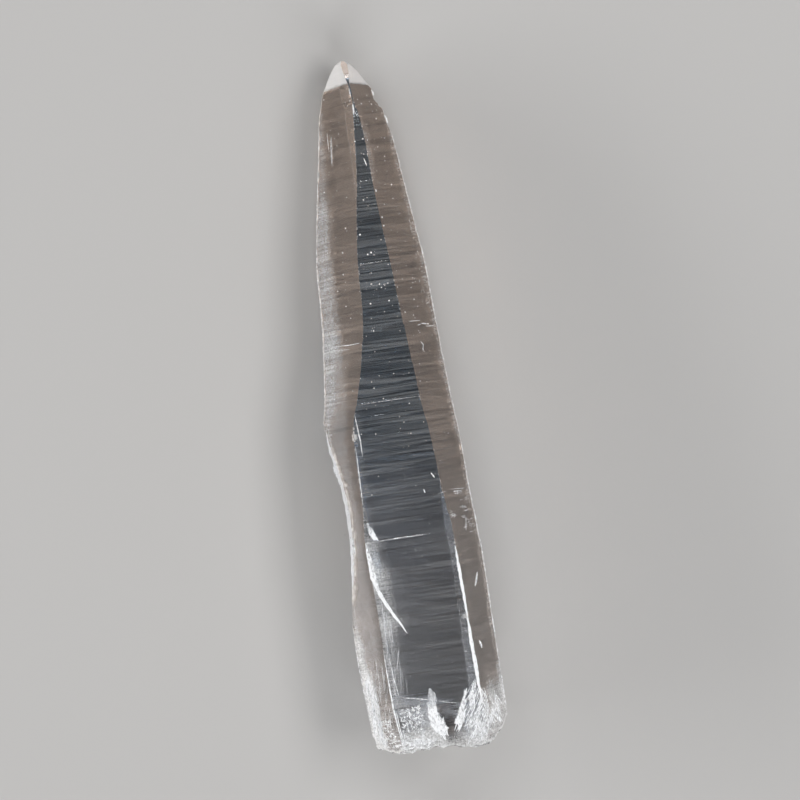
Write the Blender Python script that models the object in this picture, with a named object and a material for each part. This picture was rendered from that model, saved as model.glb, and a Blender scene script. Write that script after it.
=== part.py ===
"""A lemurian quartz crystal: one long natural point, lying on its flat back face.

Metres, +Z up. The crystal lies along Y, with its broken base at -Y and its point at +Y.
The origin is on the floor, under the middle of the crystal's box.

The prism is a hexagon whose six faces meet at 120 degrees. It is carried from section to
section, so it tapers from a broad base to a nearly three-sided neck below the point. Three
cutters then break the base off, scar the left side and chip the edges.
"""
import math

import bmesh
import bpy
from mathutils import Vector

MM = 0.001

# Driving sizes, in millimetres. Along runs from the broken base, at 0, to the point.
LENGTH = 137.8
FACE_SLOPE = math.tan(math.radians(60.0))    # side faces fall this much for each unit across

# Each section: along, then across the width the left edge, the two borders of the front face
# and the right edge, then the height of the front face and of the back face.
SECTIONS = [
    (-6.0, -12.5, -6.6, 9.8, 14.1, 19.3, 0.0),
    (12.0, -13.3, -8.2, 9.4, 14.0, 19.3, 0.0),
    (20.0, -13.7, -8.3, 9.1, 13.8, 19.2, 0.0),
    (30.0, -13.8, -8.4, 8.9, 13.7, 19.1, 0.0),
    (37.5, -13.8, -8.7, 8.7, 13.6, 19.0, 0.0),
    (42.6, -13.8, -8.8, 8.4, 13.4, 19.0, 0.0),
    (43.0, -13.7, -8.7, 8.3, 13.2, 18.8, 0.0),      # growth step
    (49.5, -13.7, -8.3, 7.8, 13.0, 18.7, 0.0),
    (63.2, -13.7, -8.1, 6.8, 12.5, 18.5, 0.0),
    (63.6, -13.7, -8.0, 6.7, 12.4, 18.4, 0.0),      # growth step
    (66.3, -13.7, -7.6, 6.3, 12.2, 18.3, 0.0),
    (69.7, -13.2, -6.6, 6.0, 12.0, 18.2, 0.0),
    (70.1, -13.1, -6.5, 5.8, 11.9, 18.0, 0.0),      # growth step
    (78.2, -12.1, -4.4, 5.2, 11.5, 17.7, 0.0),
    (87.1, -11.3, -3.0, 4.6, 11.1, 17.3, 0.0),
    (96.0, -10.9, -2.6, 4.0, 10.7, 16.8, 0.0),
    (105.0, -9.7, -1.6, 3.2, 9.7, 16.1, 0.0),
    (113.9, -8.3, -0.4, 2.6, 8.7, 15.3, 0.0),
    (119.8, -7.3, 0.2, 2.4, 8.1, 14.7, 0.0),
    (124.8, -6.5, 0.6, 2.0, 7.3, 14.1, 0.0),
    (127.2, -6.1, 0.8, 1.7, 6.7, 13.5, 0.0),
    (128.6, -5.7, 1.0, 1.3, 6.0, 12.9, 0.0),
    (131.6, -4.8, 0.8, 1.1, 5.1, 11.4, 0.0),        # the back face ends here
    (133.3, -3.9, 0.5, 0.9, 4.1, 10.1, 1.3),        # foot of the point's own faces
    (135.3, -2.8, 0.0, 1.1, 2.9, 8.5, 2.6),
    (137.1, -1.5, -0.3, 1.0, 1.5, 6.9, 3.9),
    (LENGTH, -0.3, -0.1, 0.4, 0.6, 5.7, 5.0),
]

# The break across the base: how far it stands along the crystal
BREAK_FRONT = 0.8                    # at the front face
BREAK_HEIGHT = 19.3                  # height of the front face there
BREAK_BACK = 9.0                     # how much further along it stands at the back face
BREAK_SKEW = 0.275                   # and how much that falls for each unit across
BREAK_BULGE, BULGE_ACROSS, BULGE_WIDTH = 0.8, 6.5, 2.6
BREAK_LEFT, BREAK_LEFT_RISE = -8.0, 0.7
BREAK_RIGHT, BREAK_RIGHT_RISE = 9.0, 5.0
BREAK_SIDE_RUN = 5.5
RIPPLE_CENTRE = (9.0, 17.0)          # across and height of the blow that broke it
RIPPLE_PITCH = 3.4
RIPPLE_DEPTH = 0.2

# The scar along the left edge: where it starts, is deepest and ends, and how deep it is
SCAR_START, SCAR_MIDDLE, SCAR_END = 26.0, 48.0, 66.0
SCAR_EDGE = -13.7
SCAR_DEPTH = 2.25

# Shell-shaped chips: edge, along, radius of the scoop and its depth
CHIPS = [
    ("front right", 12.0, 1.6, 0.20),
    ("front right", 16.5, 1.9, 0.22),
    ("front right", 21.0, 1.7, 0.20),
    ("front right", 25.7, 1.5, 0.35),
    ("front right", 30.5, 1.6, 0.20),
    ("front right", 35.0, 1.4, 0.16),
    ("front left", 63.8, 2.4, 0.40),
    ("right", 130.0, 1.8, 0.45),
    ("right", 124.6, 1.6, 0.25),
    ("left", 116.5, 1.8, 0.25),
]
CHIP_DIRECTIONS = {
    "front right": (math.cos(math.radians(60.0)), math.sin(math.radians(60.0))),
    "front left": (-math.cos(math.radians(60.0)), math.sin(math.radians(60.0))),
    "right": (1.0, 0.0),
    "left": (-1.0, 0.0),
}


def clear_scene():
    for obj in list(bpy.data.objects):
        bpy.data.objects.remove(obj, do_unlink=True)


def section_corners(section):
    """The six corners of a section, from the left edge over the front face to the back face."""
    along, left, front_left, front_right, right, top, floor = section
    left_height = top - FACE_SLOPE * (front_left - left)
    right_height = top - FACE_SLOPE * (right - front_right)
    back_left = left + (left_height - floor) / FACE_SLOPE
    back_right = right - (right_height - floor) / FACE_SLOPE
    return {
        "left": Vector((left, along, left_height)),
        "front left": Vector((front_left, along, top)),
        "front right": Vector((front_right, along, top)),
        "right": Vector((right, along, right_height)),
        "back right": Vector((back_right, along, floor)),
        "back left": Vector((back_left, along, floor)),
    }


def section_at(along):
    """The section between two listed ones, by straight interpolation."""
    for low, high in zip(SECTIONS, SECTIONS[1:]):
        if low[0] <= along <= high[0]:
            share = (along - low[0]) / (high[0] - low[0])
            return tuple(a + (b - a) * share for a, b in zip(low, high))
    raise ValueError("no section there")


def quartz_material():
    material = bpy.data.materials.new("clear_quartz")
    material.use_nodes = True
    shader = material.node_tree.nodes["Principled BSDF"]
    shader.inputs["Base Color"].default_value = (0.93, 0.94, 0.95, 1.0)
    shader.inputs["Metallic"].default_value = 0.0
    shader.inputs["Roughness"].default_value = 0.04
    shader.inputs["IOR"].default_value = 1.544
    shader.inputs["Transmission Weight"].default_value = 1.0
    return material


def new_object(name, bm):
    """Makes an object of a mesh that is drawn in millimetres."""
    bmesh.ops.recalc_face_normals(bm, faces=bm.faces)
    bmesh.ops.triangulate(bm, faces=bm.faces)
    bmesh.ops.scale(bm, vec=(MM, MM, MM), verts=bm.verts)
    mesh = bpy.data.meshes.new(name)
    bm.to_mesh(mesh)
    bm.free()
    obj = bpy.data.objects.new(name, mesh)
    bpy.context.collection.objects.link(obj)
    return obj


def prism():
    """The whole crystal before damage: a hexagon carried from section to section."""
    bm = bmesh.new()
    end = bm.faces.new([bm.verts.new(corner) for corner in section_corners(SECTIONS[0]).values()])
    for count, section in enumerate(SECTIONS[1:]):
        grown = bmesh.ops.extrude_face_region(bm, geom=[end])["geom"]
        if count:
            bm.faces.remove(end)
        end = next(item for item in grown if isinstance(item, bmesh.types.BMFace))
        for vert, corner in zip(end.verts, section_corners(section).values()):
            vert.co = corner
    return new_object("quartz_crystal", bm)


def break_along(across, height):
    """How far along the crystal the broken base stands, at a place of its section.

    It stands square to the crystal at the front face and slants in towards the back face, most
    at the left. It bulges out at the right of the front face, curls in at both sides and
    carries the round ripples of a glassy break.
    """
    depth = max(0.0, 1.0 - height / BREAK_HEIGHT)
    slant = (BREAK_BACK - BREAK_SKEW * across) * depth ** 3
    bulge = BREAK_BULGE * math.exp(-((across - BULGE_ACROSS) / BULGE_WIDTH) ** 2)
    left = max(0.0, (BREAK_LEFT - across) / BREAK_SIDE_RUN)
    right = max(0.0, (across - BREAK_RIGHT) / BREAK_SIDE_RUN)
    distance = math.hypot(across - RIPPLE_CENTRE[0], height - RIPPLE_CENTRE[1])
    ripple = RIPPLE_DEPTH * math.cos(2.0 * math.pi * distance / RIPPLE_PITCH)
    return (BREAK_FRONT + slant - bulge + ripple
            + BREAK_LEFT_RISE * left ** 2 + BREAK_RIGHT_RISE * right ** 2)


def grid_block(name, columns, rows, place, push):
    """A closed block: one side is a grid bent by place(u, v), the rest is pushed straight back."""
    bm = bmesh.new()
    bmesh.ops.create_grid(bm, x_segments=columns, y_segments=rows, size=0.5)
    sheet = bm.faces[:]
    for vert in bm.verts:
        vert.co = place(vert.co.x + 0.5, vert.co.y + 0.5)
    walls = bmesh.ops.extrude_face_region(bm, geom=sheet, use_keep_orig=True)["geom"]
    moved = [item for item in walls if isinstance(item, bmesh.types.BMVert)]
    bmesh.ops.translate(bm, vec=push, verts=moved)
    return new_object(name, bm)


def break_cutter():
    """What the break took away, below the base."""
    def place(u, v):
        across, height = -20.0 + 40.0 * u, -4.0 + 28.0 * v
        return Vector((across, break_along(across, height), height))
    return grid_block("break_cutter", 20, 16, place, (0.0, -60.0, 0.0))


def scar_depth(along):
    """Depth of the scar: it deepens along a quarter wave from either end to its middle."""
    if along < SCAR_MIDDLE:
        share = (along - SCAR_START) / (SCAR_MIDDLE - SCAR_START)
    else:
        share = (SCAR_END - along) / (SCAR_END - SCAR_MIDDLE)
    return SCAR_DEPTH * math.sin(0.5 * math.pi * max(0.0, share)) ** 1.5


def scar_cutter():
    """The steep, stepped scar along the left edge."""
    def place(u, v):
        along, height = SCAR_START + (SCAR_END - SCAR_START) * u, 22.0 * v
        steps = 0.12 * math.sin(along * 1.9 + height * 0.4)
        return Vector((SCAR_EDGE + scar_depth(along) + steps, along, height))
    return grid_block("scar_cutter", 40, 8, place, (-12.0, 0.0, 0.0))


def chip_cutter():
    """The scoops that chipped the edges, each a ball standing mostly outside its edge."""
    bm = bmesh.new()
    for edge, along, radius, depth in CHIPS:
        corner = section_corners(section_at(along))[edge]
        across, up = CHIP_DIRECTIONS[edge]
        centre = corner + Vector((across, 0.0, up)) * (radius - depth)
        ball = bmesh.ops.create_icosphere(bm, subdivisions=2, radius=radius)["verts"]
        bmesh.ops.translate(bm, vec=centre, verts=ball)
    return new_object("chip_cutter", bm)


def cut_away(obj, cutter):
    """Cuts one object with another, which stays as a hidden guide."""
    cutter.hide_render = True
    cutter.display_type = 'WIRE'
    cut = obj.modifiers.new(cutter.name, 'BOOLEAN')
    cut.operation = 'DIFFERENCE'
    cut.solver = 'EXACT'
    cut.object = cutter


def centre_on_floor(objects):
    """Moves the model so that the origin is on the floor under the middle of its box."""
    crystal = objects[0]
    shown = crystal.evaluated_get(bpy.context.evaluated_depsgraph_get())
    corners = [Vector(corner) for corner in shown.bound_box]
    low = Vector([min(corner[axis] for corner in corners) for axis in range(3)])
    high = Vector([max(corner[axis] for corner in corners) for axis in range(3)])
    middle = (low + high) / 2.0
    for obj in objects:
        for vert in obj.data.vertices:
            vert.co -= Vector((middle.x, middle.y, low.z))


def main():
    clear_scene()
    crystal = prism()
    crystal.data.materials.append(quartz_material())
    cutters = [break_cutter(), scar_cutter(), chip_cutter()]
    for cutter in cutters:
        cut_away(crystal, cutter)
    centre_on_floor([crystal] + cutters)


main()
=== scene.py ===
"""Clear lemurian quartz crystal on a pale floor: an add-on that is run as a script.

The crystal is drawn in millimetres, across (x), along (y, from the broken base to the point)
and up (z, from the floor). It is then moved so that its box meets the box of the CAD node.
"""
import math

import bpy
import numpy as np
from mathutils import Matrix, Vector


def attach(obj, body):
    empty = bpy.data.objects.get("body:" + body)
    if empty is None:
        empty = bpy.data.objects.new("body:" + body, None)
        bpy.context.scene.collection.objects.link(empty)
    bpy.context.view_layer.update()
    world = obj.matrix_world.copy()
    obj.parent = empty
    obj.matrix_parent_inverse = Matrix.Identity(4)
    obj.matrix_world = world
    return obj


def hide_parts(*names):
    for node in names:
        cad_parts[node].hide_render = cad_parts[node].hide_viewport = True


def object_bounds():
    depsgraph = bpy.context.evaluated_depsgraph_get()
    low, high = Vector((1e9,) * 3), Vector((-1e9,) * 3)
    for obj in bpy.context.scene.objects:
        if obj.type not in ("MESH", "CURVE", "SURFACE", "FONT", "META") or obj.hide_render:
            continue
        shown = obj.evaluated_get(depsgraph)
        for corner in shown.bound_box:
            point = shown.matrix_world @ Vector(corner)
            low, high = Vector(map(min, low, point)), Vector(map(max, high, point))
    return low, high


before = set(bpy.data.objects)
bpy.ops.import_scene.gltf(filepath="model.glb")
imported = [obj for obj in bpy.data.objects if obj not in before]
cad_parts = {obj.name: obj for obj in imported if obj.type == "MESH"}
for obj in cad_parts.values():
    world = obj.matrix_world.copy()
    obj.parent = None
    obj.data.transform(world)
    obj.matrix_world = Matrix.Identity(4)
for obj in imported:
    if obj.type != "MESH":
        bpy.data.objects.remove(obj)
CAD_LOW, CAD_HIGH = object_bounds()

bl_info = {
    "name": "Lemurian Quartz Crystal",
    "version": (1, 0, 0),
    "blender": (4, 5, 0),
    "location": "3D View > Sidebar > Quartz",
    "description": "Builds a clear, striated quartz point with a broken base and its studio",
    "category": "Add Mesh",
}

MM = 0.001
NODE = "quartz_crystal"

# The prism, before its small growth steps: along, then across the left edge, the two borders
# of the front face and the right edge, then the height of the front face
SECTIONS = np.array([
    (-6, -12.5, -6.6, 9.8, 14.1, 19.3), (12, -13.3, -8.2, 9.4, 14, 19.3),
    (20, -13.7, -8.3, 9.1, 13.8, 19.2), (30, -13.8, -8.4, 8.9, 13.7, 19.1),
    (37.5, -13.8, -8.7, 8.7, 13.6, 19), (42.6, -13.8, -8.8, 8.4, 13.3, 19),
    (49.5, -13.7, -8.3, 7.8, 13, 18.8), (63.2, -13.7, -8.1, 6.8, 12.5, 18.6),
    (66.3, -13.7, -7.6, 6.3, 12.2, 18.4), (70.1, -13.1, -6.5, 5.8, 11.9, 18.2),
    (78.2, -12.1, -4.4, 5.2, 11.5, 17.7), (87.1, -11.3, -3, 4.6, 11.1, 17.3),
    (96, -10.9, -2.6, 4, 10.7, 16.8), (105, -9.7, -1.6, 3.2, 9.7, 16.1),
    (113.9, -8.3, -0.4, 2.6, 8.7, 15.3), (119.8, -7.3, 0.2, 2.4, 8.1, 14.7),
    (124.8, -6.5, 0.6, 2, 7.3, 14.1), (127.2, -6.1, 0.8, 1.7, 6.7, 13.5),
    (128.6, -5.7, 1, 1.3, 6, 12.9), (131.6, -4.8, 0.8, 1.1, 5.1, 11.4),
    (133.3, -3.9, 0.5, 0.9, 4.1, 10.1),
])
# The point, straight between its sections, with the height of its back face last
POINT = np.array([
    (133.3, -3.9, 0.5, 0.9, 4.1, 10.1, 1.3), (135.3, -2.8, 0, 1.1, 2.9, 8.5, 2.6),
    (137.1, -1.5, -0.3, 1, 1.5, 6.9, 3.9), (137.8, -0.3, -0.1, 0.4, 0.6, 5.7, 5),
])
POINT_FOOT, POINT_SHOULDER, POINT_END = POINT[0, 0], POINT[2, 0], POINT[3, 0]
BACK_END = 131.6                        # the back face leaves the floor here
FACE_SLOPE = math.tan(math.radians(60))
FACES = ("front left", "front", "front right", "back right", "back", "back left")
FACE_ANGLES = np.radians([150.0, 90.0, 30.0, -30.0, -90.0, -150.0])
NORMALS = np.stack([np.cos(FACE_ANGLES), np.sin(FACE_ANGLES)], axis=1)

# The mesh: columns of each face, how many of them replace one near the break, how much longer
# the rows are there, the rings of the break's face, and the rows of the point's two parts
FACE_COLUMNS = (14, 14, 14, 6, 6, 12)
REFINE = 3
LOWER_PITCH = 1.6
BREAK_RINGS = 44
POINT_ROWS = (34, 7)

# Ladder striations: random seed, 1 where each face has its own, pitch and depth
LADDERS = ((11, 0, 3.1, 0.020), (20, 1, 1.1, 0.018), (40, 1, 0.42, 0.012))
STRIPS_START, STRIPS_RUN = -20.0, 220.0
# Striations of the side faces climb to the right by this much for each unit along from here
SLANT, SLANT_LEVEL = 0.005, 69.0

# Growth steps of each face: along, how far the crystal draws in above it, the step's own length
GROWTH_STEPS = {
    "front": (
        (42.8, 0.14, 0.25), (63.4, 0.05, 0.2), (69.9, 0.16, 0.22), (92.7, 0.03, 0.2),
        (97.2, 0.03, 0.15), (67.3, 0.04, 0.2),
    ),
    "front left": (
        (69.6, 0.16, 0.3), (82, 0.14, 0.2), (87.2, 0.06, 0.2), (110.5, 0.08, 0.3),
    ),
    "front right": (
        (46.2, 0.16, 0.3), (50.3, 0.1, 0.3), (84.2, 0.12, 0.35), (76.4, 0.1, 0.3),
        (128.9, 0.12, 0.3),
    ),
    "back": (
        (58, 0.1, 0.3), (88, 0.08, 0.3),
    ),
}

# The break across the base: its place at the front face, and how it slants in behind it
BREAK_FRONT, BREAK_HEIGHT = 0.8, 19.3
BREAK_BACK, BREAK_SKEW = 9.0, 0.275
BULGE, BULGE_ACROSS, BULGE_WIDTH = 0.8, 6.5, 2.6
LEFT_CURL, LEFT_RISE = -8.0, 0.7
RIGHT_CURL, RIGHT_RISE = 9.0, 5.0
CURL_RUN = 5.5
BLOW = (9.0, 17.0)                      # the ripples' centre, across and up
RIPPLE_PITCH, RIPPLE_DEPTH = 3.4, 0.2
DEEPEST_SHARD = -0.25
RIM_GUESS = 4.0                         # the skin here gives the rim's outline
BROKEN_END = 16.0                       # rows bend towards the break below this
RIGHT_MOST = 14.036                     # the right edge where the break meets it

# Chips: edge number, from, to, how many, smallest and largest radius, depth over radius.
# Edge 0 is the left one, and the others follow over the front face.
CHIP_RUNS = (
    (2, 9, 41, 60, 0.25, 0.55, 0.22), (2, 41, 132, 60, 0.12, 0.35, 0.25),
    (1, 43, 66, 26, 0.15, 0.5, 0.25), (1, 66, 132, 40, 0.12, 0.32, 0.25),
    (3, 8, 132, 90, 0.15, 0.45, 0.2), (0, 14, 67, 46, 0.3, 1, 0.28),
    (0, 67, 132, 70, 0.15, 0.5, 0.25), (3, 118, 131, 10, 0.4, 0.9, 0.3),
)
# Large chips: edge number, along, radius, depth
LARGE_CHIPS = (
    (3, 130, 1.8, 0.45), (3, 124.6, 1.6, 0.25), (0, 116.5, 1.8, 0.25), (2, 25.7, 1.2, 0.45),
    (1, 63.8, 1.8, 0.35), (2, 9.2, 2.2, 0.4), (0, 3, 2.2, 0.5),
)
CHIP_SEED, CHIP_FROST = 7, 0.6

# Haze of each face, partly a real matte film and partly painted light that makes the upper side
# faces paler, and paleness of the point's faces, partly frosting and partly painted highlight
FACE_HAZE_AND_SHEEN = (0.185, 0.08, 0.185, 0.05, 0.04, 0.05)
POINT_FROST_AND_SHEEN = (0.75, 0.50, 0.75, 0.15, 0.0, 0.15)
# The painted tints set in, grow and deepen on the lower right face between these places along
PAINTED_TINT_STARTS, PAINTED_TINT_GROWS, PAINTED_TINT_DEEPENS = (-1.0, 6.0), (20.0, 74.0), (104.0, 118.0)
# Shares of a face between which the painted rim highlight along its outer edge fades out
RIM_HIGHLIGHT_FADES = (0.004, 0.05)
# Whitish veils of each face: from, to, share of the face from, to, strength
VEILS = {
    "front left": (
        (-4, 16, -0.3, 0.42, 1), (-4, 11, 0.4, 1.3, 0.3), (-4, 24, -0.3, 0.34, 0.42),
        (14, 67, -0.3, 0.22, 0.32), (67, 83, -0.3, 0.34, 0.22), (67, 84, -0.3, 0.72, 0.16),
        (82, 110, -0.3, 0.36, 0.3), (108, 130, -0.3, 0.24, 0.16),
    ),
    "front right": (
        (6, 66, 0.86, 1.3, 0.24), (66, 128, 0.84, 1.3, 0.24), (112, 127, -0.3, 0.16, 0.22),
        (-3, 11, -0.3, 1.3, 0.45), (-3, 15, 0.3, 1.3, 0.22),
    ),
    "front": (
        (34, 43, -0.3, 0.12, 0.65), (24, 37, -0.3, 0.2, 0.42), (9, 27, -0.3, 0.13, 0.34),
        (43, 68, -0.3, 0.07, 0.16), (-3, 4, -0.3, 0.5, 0.8), (1.5, 9.5, 0.02, 0.46, 0.24),
        (1.5, 9, 0.28, 0.46, 0.3), (-3, 9, 0.74, 1.3, 0.4), (-3, 1, 0.44, 0.66, 0.9),
        (-3, 2.6, 0.6, 1.3, 0.7),
    ),
}
# How soft their ends and their sides are
VEIL_ENDS, VEIL_SIDES = 2.5, 0.09

# The scar along the left edge, and how far from its wall the skin gives way
SCAR_START, SCAR_MIDDLE, SCAR_END = 26.0, 48.0, 66.0
SCAR_EDGE, SCAR_DEPTH, SCAR_REACH = -13.7, 2.25, 3.0

# Shells in the base: seed, thickness, how far the shell tips to its right side, cover, half
# widths along its track, and the track: across, along and height of each of its points
FLAKES = (
    (51, 0.04, 0, 1, (0.2, 0.85, 1.05, 1, 1.35, 1.45, 0.6),
     (-0.5, 12.6, 19.31, -0.2, 11, 19.31, -0.4, 9.5, 19.31, -0.5, 7.7, 19.32, 0, 5.9, 19.32, 0.6,
      4.4, 19.32, 1.3, 2.9, 19.32)),
    (52, 0.08, -0.2, 0.4, (0.4, 1.3, 0.7),
     (-2.4, 9.6, 17, -2.2, 7, 16.4, -1.2, 5, 15.6)),
    (53, 0.04, 0, 1, (0.15, 0.5, 0.65),
     (6.4, 10.8, 19.3, 5.2, 7.6, 19.32, 3.9, 4.7, 19.32)),
    (54, 0.08, -0.1, 0.7, (0.5, 2.3, 2.6),
     (7.9, 11.6, 17.8, 7.8, 7, 17.4, 7.6, 1.8, 17)),
    (55, 0.1, 0, 1, (0.4, 1, 0.8),
     (9.4, 2.6, 18.4, 8, 1.6, 18.8, 6.4, 1.3, 18.9)),
    (56, 0.04, 0, 1, (0.15, 0.6, 0.4),
     (-8, 46.6, 18.9, -7.3, 44.3, 18.97, -6.6, 42.7, 18.99)),
    (57, 0.04, 0, 0.4, (0.6, 1.1, 0.5),
     (-8, 42.2, 18.98, -7.5, 39, 19, -7.3, 34.6, 19.02)),
)
SHELL_RIPPLE, SHELL_WAVE = 0.04, 1.8    # how deep and how long the ripples of their faces are

# Splinters at the front face near the break: count, seed, patch corners across and along,
# heading, spread, length, width, how deep they lie, cover
HACKLES = (
    (74, 61, (3.8, 4.8, 7.6, 12, 9.8, 9, 11, 3.4), 28, 8, 4.6, 0.17, 0, 1),
    (60, 62, (5, 0.9, 6, 6.5, 11.4, 5, 9.4, 0.9), 26, 18, 3, 0.17, 0, 1),
    (60, 63, (9.4, 1.2, 9.8, 10.5, 12.8, 8.5, 12.4, 4.6), -16, 12, 3.2, 0.15, 0, 0.7),
    (190, 64, (-7.2, 2.2, -6.8, 9.4, -2.8, 9.4, -2, 2.4), 30, 70, 0.9, 0.16, 0, 0.8),
    (100, 65, (-12.9, 2.6, -13.3, 15.5, -10.8, 13.5, -10.8, 1.6), 2, 5, 6, 0.17, 0, 1),
    (110, 73, (-11.2, 2.2, -11.4, 7.4, -8.7, 7.4, -8.4, 1.8), 10, 60, 0.9, 0.15, 0, 0.8),
    (22, 74, (-11.6, 7, -11.8, 17, -8.8, 17, -8.8, 7), 3, 4, 7, 0.09, 0, 0.6),
    (34, 66, (-7.9, 12, -7.7, 31, -6.4, 27, -4.6, 12), 4, 5, 8, 0.12, 0, 0.24),
    (70, 67, (-0.6, 5, -0.2, 9, 2, 4, 0.8, 2.6), -14, 16, 2.4, 0.16, 0, 1),
    (60, 68, (4.2, 4.4, 5.6, 8.8, 6.4, 10.8, 4.9, 4.6), 24, 8, 3.4, 0.26, 0, 1),
    (16, 70, (8.5, 45.4, 8.6, 46.7, 9.9, 46.6, 9.6, 45.2), 70, 30, 0.8, 0.1, 0, 0.5),
    (44, 71, (11.2, 41.6, 10.6, 50.4, 12.7, 50.4, 12.7, 41.6), 82, 10, 1.2, 0.08, 0, 0.3),
    (40, 72, (9, 86, 8.6, 124, 9, 124, 10.4, 86), 2, 24, 1.2, 0.08, 0, 0.4),
    (60, 69, (-8.6, 1, -8, 3.4, -1, 2.6, -1, 0.9), 80, 16, 2.2, 0.2, 0, 0.9),
)
# The least distance of a splinter from the break and from the outer edges
BREAK_MARGIN, EDGE_MARGIN = 0.25, 0.2

# Fine lines on the upper skin: width, cover, then across and along of each of its points
LINES = (
    (0.72, 1.4, -8.9, 42.4, -8.7, 37.6, -8.46, 35.5, -7.74, 32.9, -6.66, 30.4, -5.4, 27.9,
     -3.96, 25.4, -3.2, 23.8),
    (0.22, 0.8, 12.2, 10.3, 12, 8, 11.7, 5.9), (0.15, 0.6, 12.6, 8.6, 12.3, 5.2),
    (0.8, 0.6, -8.9, 42.6, -8.5, 39, -8, 35, -7.4, 32.4),
    (0.28, 0.9, -8.4, 21.5, -8.3, 15.8, -8.1, 9.9, -7.7, 5.9, -7.1, 1.4),
    (0.2, 0.8, -7.6, 9, -7.3, 5, -6.8, 1.4), (0.2, 0.6, -7.4, 19, -7.1, 15, -6.6, 11.6),
    (0.24, 0.45, -7.4, 68.2, -7.2, 65.6, -7, 62.6, -7, 59.6),
    (0.17, 0.5, -6.6, 11.8, -5.5, 11.35, -2, 10.6, 0.6, 10),
    (0.15, 0.4, 0.9, 9.9, 2.4, 9.4, 4.6, 8.9), (0.6, 1.4, 8.55, 39.8, 8.7, 35, 8.85, 30, 8.95, 25),
    (0.72, 1.4, 8.95, 26.5, 9.05, 19.8, 9.3, 12, 9.5, 8), (0.5, 1, 12.15, 33.9, 11.3, 31.1),
    (0.5, 1, 10.6, 20.5, 10.9, 18.9), (0.16, 0.8, -4.9, 124.2, -5, 120.2),
    # Painted glints: the short lines from 124 along to the point, at 5 to 7.3 and at 0.7 to 1
    # across, stand in for light caught at the point's edges
    (0.55, 0.35, -4.1, 123.4, -4.8, 117.4), (0.5, 1, 5, 131.4, 5.3, 130.2),
    (0.45, 1, 6.8, 126, 7.1, 125.2, 7.3, 124.2), (0.24, 0.8, 0.7, 132.2, 0.8, 130.4),
    (0.3, 1, 1, 129, 0.95, 126.8), (0.12, 0.6, -6.6, 42.7, -1, 42.75, 3.4, 42.7),
    (0.1, 0.4, -6.7, 69.8, -1, 69.9, 5.6, 69.9), (0.15, 0.6, -8.4, 81.9, -6.6, 81.8, -4.3, 81.9),
    (0.1, 0.4, -11, 82, -8.2, 81.9), (0.1, 0.35, -10.6, 81.1, -6.4, 81),
    (0.08, 0.25, -3.2, 97.2, 3.6, 97.2), (0.08, 0.25, -2.6, 92.7, 4.2, 92.8),
    (0.18, 0.7, 7.6, 80.6, 8, 79.8, 7.8, 79, 8, 78.4), (0.12, 0.5, 5.8, 84.8, 8.2, 84.7),
    (0.22, 0.5, 8.2, 84.1, 9.4, 83.8), (0.13, 0.6, 9, 83.4, 10.6, 83.3),
    (0.16, 0.4, 7.4, 83.8, 8.3, 84), (0.1, 0.5, 9.2, 50.8, 12.2, 50.6),
    (0.18, 0.6, 9.6, 50.3, 11.4, 50.2), (0.12, 0.5, 9.8, 49.9, 10.7, 49.8),
    (0.09, 0.4, 6.2, 50.2, 8.4, 50.6), (0.26, 0.35, 11.5, 45.2, 11.1, 42.2),
    (0.26, 0.7, 5.9, 54.6, 6.5, 53.5), (0.2, 0.8, 4, 51.6, 4.2, 50.8),
    (0.18, 0.7, 1.6, 118, 2, 116.4), (0.16, 0.5, -8.1, 62, -8.2, 56, -8.3, 50),
    (0.95, 1.6, -13.5, 66, -13.2, 61.8, -12.4, 58, -11.8, 54, -11.4, 50, -11.4, 45, -11.6, 42,
     -12.1, 38, -12.7, 34),
    (0.6, 0.8, -11.2, 44, -11.2, 40.6), (1, 0.8, -12.9, 59, -12.2, 55.8),
)
LINE_LIFT, LINE_THICKNESS, LINE_SEED = 0.04, 0.03, 3

# Painted highlights, bright lines along the long edges: edge, from, to, width, cover, seed
EDGE_HIGHLIGHTS = (
    (3, 6, 60, 0.52, 1, 81), (3, 60, 122, 0.38, 1, 82), (0, 66.5, 126, 0.34, 0.9, 83),
    (0, 7.5, 26, 0.5, 1, 84),
)
EDGE_PITCH, EDGE_LIFT = 0.25, 0.02

# Specks scattered over the upper skin: how many, seed of their places, from, to
SPECKS = (520, 31, 14.0, 131.0)
SPECK_SEED, SPECK_LIFT, SPECK_THICKNESS = 32, 0.04, 0.02
SPECK_SIZE, PIT_SIZE = (0.12, 0.30), (0.28, 0.42)
SPECKS_BRIGHTEN = (42.0, 80.0)          # from here to here along the crystal
# Bright pits of the upper faces: across and along
PITS = (
    (-4.55, 130.8), (2.67, 128.8), (6.24, 121.5), (5.15, 125.5), (1.98, 121.8), (0.36, 109.8),
    (3.07, 111.2), (6.28, 112.1), (3.5, 105.9), (-3.88, 104.8), (3.6, 104.2), (-1.27, 103.1),
    (-5.15, 100.1), (-0.32, 99), (0.4, 99.3), (-5.66, 95.8), (-0.42, 93.1), (1.17, 92.9),
    (4.55, 91.8), (-1.13, 89.3), (2.57, 89.4), (-6, 89.5), (5.35, 86.7), (9.5, 83.8),
)

# Corners round the thin bodies and round the shells, and the steps along the lines and shells
THIN_RING, SHELL_RING = 6, 36
LINE_STEPS, HACKLE_STEPS, SPECK_STEPS, SHELL_STEPS = 28, 7, 5, 60

# Colour of the flaws' shaded parts, and the angle over which an edge stays sharp, in degrees:
# on the flaws and on the skin
FLAW_SHADE = (0.88, 0.90, 0.93)
FLAW_CREASE, SKIN_CREASE = 60, 28

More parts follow.
